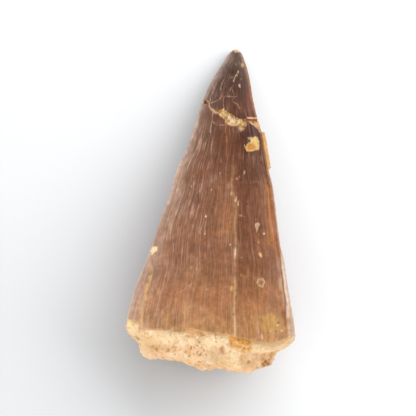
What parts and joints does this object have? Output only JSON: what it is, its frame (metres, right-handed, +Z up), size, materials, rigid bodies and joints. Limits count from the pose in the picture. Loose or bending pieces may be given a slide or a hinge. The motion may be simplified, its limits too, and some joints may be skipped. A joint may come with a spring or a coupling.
{
  "type": "fossil mosasaur tooth",
  "caption": "Fossil marine reptile tooth lying on its lingual side: stout pointed enamel crown with carinae, a healed break near the tip and a broken root",
  "frame": {"origin": "middle of the bounding box in plan, on the surface that the tooth lies on", "axes": "+Y runs from the broken root to the tip, +Z up out of the labial face, +X to the right seen from above with the tip away"},
  "size_m": [0.026, 0.0502, 0.0196],
  "materials": {
    "enamel": "satin, brown, finely striated lengthwise",
    "root": "matt, cream, granular break",
    "fill": "matt, sandy yellow filling"
  },
  "bodies": {
    "root": {"tooth": "enamel"}
  },
  "joints": []
}
